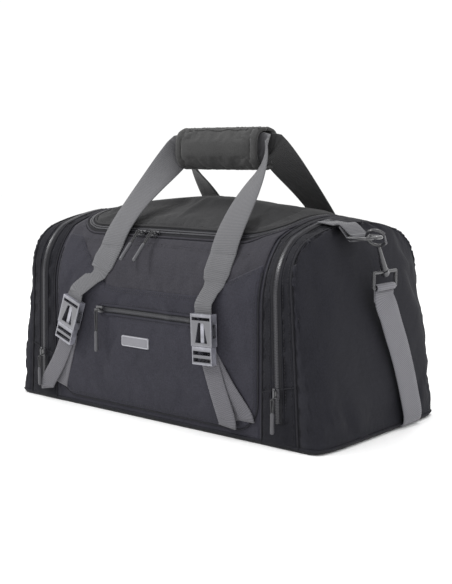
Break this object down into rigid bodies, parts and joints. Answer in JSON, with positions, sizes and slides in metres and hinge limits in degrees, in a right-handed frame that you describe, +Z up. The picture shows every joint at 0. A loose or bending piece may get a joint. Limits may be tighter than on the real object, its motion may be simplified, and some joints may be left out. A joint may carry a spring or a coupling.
{
  "type": "flight bag",
  "caption": "Soft zipped duffel bag with end pockets, front pocket, paired carry handles in a wrap grip, compression straps with side-release buckles and a shoulder strap.",
  "frame": {"origin": "centre of the base, on the floor", "axes": "+Z up, front pocket faces -Y, +X towards the right end pocket"},
  "size_m": [0.5338, 0.3155, 0.349],
  "materials": {
    "main_fabric": "woven polyester, matte",
    "lid_fabric": "woven polyester, matte",
    "yoke_fabric": "woven polyester, matte",
    "end_fabric": "woven polyester, matte",
    "lining": "padded lining",
    "board": "stiffener sheet",
    "zip_tape": "coil zip and tape",
    "webbing": "ribbed webbing",
    "webbing_dark": "ribbed webbing",
    "grip": "padded woven wrap",
    "buckle": "moulded acetal",
    "hardware": "satin moulded",
    "slider": "black enamel",
    "pull": "moulded over cord",
    "badge": "matte raised patch"
  },
  "bodies": {
    "bag": {"base_panel": "end_fabric", "base_board": "board", "front_panel": "main_fabric", "rear_panel": "main_fabric", "left_inner_wall": "lining", "right_inner_wall": "lining", "left_pocket_gusset": "end_fabric", "right_pocket_gusset": "end_fabric", "left_pocket_panel": "end_fabric", "right_pocket_panel": "end_fabric", "left_end_zip": "zip_tape", "right_end_zip": "zip_tape", "yoke_panel": "yoke_fabric", "front_pocket_panel": "main_fabric", "front_zip": "zip_tape", "badge": "badge", "main_zip_body_side": "zip_tape", "rear_anchors": "webbing_dark", "left_upper_strap": "webbing", "right_upper_strap": "webbing", "left_lower_strap": "webbing", "right_lower_strap": "webbing", "left_buckle_housing": "buckle", "right_buckle_housing": "buckle", "left_ring_tab": "webbing", "right_ring_tab": "webbing", "left_swivel_eye": "hardware", "right_swivel_eye": "hardware", "shoulder_strap": "webbing"},
    "lid": {"lid_panel": "lid_fabric", "main_zip_lid_side": "zip_tape"},
    "front_handle": {"front_handle": "webbing", "grip_front": "grip"},
    "rear_handle": {"rear_handle": "webbing_dark", "grip_rear": "grip"},
    "left_fork": {"left_buckle_fork": "buckle"},
    "left_prong_a": {"left_buckle_prong_a": "buckle"},
    "left_prong_b": {"left_buckle_prong_b": "buckle"},
    "left_ring": {"left_d_ring": "hardware"},
    "left_hook": {"left_hook": "hardware"},
    "left_gate": {"left_hook_gate": "hardware"},
    "right_fork": {"right_buckle_fork": "buckle"},
    "right_prong_a": {"right_buckle_prong_a": "buckle"},
    "right_prong_b": {"right_buckle_prong_b": "buckle"},
    "right_ring": {"right_d_ring": "hardware"},
    "right_hook": {"right_hook": "hardware"},
    "right_gate": {"right_hook_gate": "hardware"},
    "main_left_slider": {"main_left_slider": "slider"},
    "main_left_pull": {"main_left_pull": "pull"},
    "main_right_slider": {"main_right_slider": "slider"},
    "main_right_pull": {"main_right_pull": "pull"},
    "front_slider": {"front_slider": "slider"},
    "front_pull": {"front_pull": "pull"},
    "left_end_slider": {"left_end_slider": "slider"},
    "left_end_pull": {"left_end_pull": "pull"},
    "right_end_slider": {"right_end_slider": "slider"},
    "right_end_pull": {"right_end_pull": "pull"},
    "adjuster": {"strap_adjuster": "hardware"}
  },
  "joints": [
    {"name": "front_handle_fold", "type": "hinge", "parent": "bag", "child": "front_handle", "pos_m": [0, -0.11276, 0.20602], "axis": [1, 0, 0], "range_deg": [0, 124]},
    {"name": "rear_handle_fold", "type": "hinge", "parent": "bag", "child": "rear_handle", "pos_m": [0, 0.11276, 0.20602], "axis": [-1, 0, 0], "range_deg": [0, 124]},
    {"name": "lid_open", "type": "hinge", "parent": "bag", "child": "lid", "pos_m": [0, 0.092, 0.226], "axis": [-1, 0, 0], "range_deg": [0, 41.8]},
    {"name": "main_left_zip", "type": "slide", "parent": "bag", "child": "main_left_slider", "axis": [-1, 0, 0], "range_m": [0, 0.013]},
    {"name": "main_right_zip", "type": "slide", "parent": "bag", "child": "main_right_slider", "axis": [1, 0, 0], "range_m": [0, 0.09]},
    {"name": "main_left_pull_lift", "type": "hinge", "parent": "main_left_slider", "child": "main_left_pull", "pos_m": [-0.038, -0.10482, 0.22677], "axis": [-1, 0, 0], "range_deg": [0, 110]},
    {"name": "main_right_pull_lift", "type": "hinge", "parent": "main_right_slider", "child": "main_right_pull", "pos_m": [-0.016, -0.10482, 0.22677], "axis": [-1, 0, 0], "range_deg": [0, 110]},
    {"name": "front_zip_slide", "type": "slide", "parent": "bag", "child": "front_slider", "axis": [1, 0, 0], "range_m": [0, 0.15]},
    {"name": "front_pull_lift", "type": "hinge", "parent": "front_slider", "child": "front_pull", "pos_m": [-0.081, -0.1376, 0.1274], "axis": [-1, 0, 0], "range_deg": [0, 110]},
    {"name": "left_end_zip_slide", "type": "slide", "parent": "bag", "child": "left_end_slider", "axis": [0, 0, 1], "range_m": [0, 0.1]},
    {"name": "left_end_pull_lift", "type": "hinge", "parent": "left_end_slider", "child": "left_end_pull", "pos_m": [-0.19107, -0.1356, 0.056], "axis": [-1, 0, 0], "range_deg": [0, 110]},
    {"name": "right_end_zip_slide", "type": "slide", "parent": "bag", "child": "right_end_slider", "axis": [0, 0, 1], "range_m": [0, 0.1]},
    {"name": "right_end_pull_lift", "type": "hinge", "parent": "right_end_slider", "child": "right_end_pull", "pos_m": [0.19107, -0.1356, 0.056], "axis": [-1, 0, 0], "range_deg": [0, 110]},
    {"name": "left_buckle_release", "type": "slide", "parent": "bag", "child": "left_fork", "axis": [-0.342, 0, -0.9397], "range_m": [0, 0.02]},
    {"name": "left_prong_a_squeeze", "type": "hinge", "parent": "left_fork", "child": "left_prong_a", "pos_m": [-0.14213, -0.1372, 0.1079], "axis": [0, 1, 0], "range_deg": [0, 5], "stiffness_Nm_per_rad": 0.05},
    {"name": "left_prong_b_squeeze", "type": "hinge", "parent": "left_fork", "child": "left_prong_b", "pos_m": [-0.12334, -0.1372, 0.10106], "axis": [0, -1, 0], "range_deg": [0, 5], "stiffness_Nm_per_rad": 0.05},
    {"name": "right_buckle_release", "type": "slide", "parent": "bag", "child": "right_fork", "axis": [0.0349, 0, -0.9994], "range_m": [0, 0.02]},
    {"name": "right_prong_a_squeeze", "type": "hinge", "parent": "right_fork", "child": "right_prong_a", "pos_m": [0.08629, -0.1372, 0.10366], "axis": [0, 1, 0], "range_deg": [0, 5], "stiffness_Nm_per_rad": 0.05},
    {"name": "right_prong_b_squeeze", "type": "hinge", "parent": "right_fork", "child": "right_prong_b", "pos_m": [0.10627, -0.1372, 0.10435], "axis": [0, -1, 0], "range_deg": [0, 5], "stiffness_Nm_per_rad": 0.05},
    {"name": "left_ring_swing", "type": "hinge", "parent": "bag", "child": "left_ring", "pos_m": [-0.234, 0.035, 0.228], "axis": [0, -1, 0], "range_deg": [-8, 8]},
    {"name": "left_hook_swivel", "type": "hinge", "parent": "bag", "child": "left_hook", "pos_m": [-0.255, 0.032, 0.228], "axis": [0.1386, -0.5942, -0.7923], "range_deg": [-12, 12]},
    {"name": "left_gate_press", "type": "hinge", "parent": "left_hook", "child": "left_gate", "pos_m": [-0.26374, 0.02752, 0.22491], "axis": [-0.18, 0.7715, -0.6102], "range_deg": [0, 12], "stiffness_Nm_per_rad": 0.01},
    {"name": "right_ring_swing", "type": "hinge", "parent": "bag", "child": "right_ring", "pos_m": [0.234, -0.035, 0.228], "axis": [0, 1, 0], "range_deg": [-8, 8]},
    {"name": "right_hook_swivel", "type": "hinge", "parent": "bag", "child": "right_hook", "pos_m": [0.255, -0.032, 0.228], "axis": [-0.1386, 0.5942, -0.7923], "range_deg": [-12, 12]},
    {"name": "right_gate_press", "type": "hinge", "parent": "right_hook", "child": "right_gate", "pos_m": [0.26374, -0.02752, 0.22491], "axis": [0.18, -0.7715, -0.6102], "range_deg": [0, 12], "stiffness_Nm_per_rad": 0.01},
    {"name": "adjuster_slide", "type": "slide", "parent": "bag", "child": "adjuster", "axis": [1, 0, 0], "range_m": [-0.05, 0.05]}
  ],
  "couplings": [
    {"joint": "rear_handle_fold", "follows": "front_handle_fold", "ratio": 1},
    {"joint": "lid_open", "follows": "front_handle_fold", "ratio": 0.3333}
  ]
}
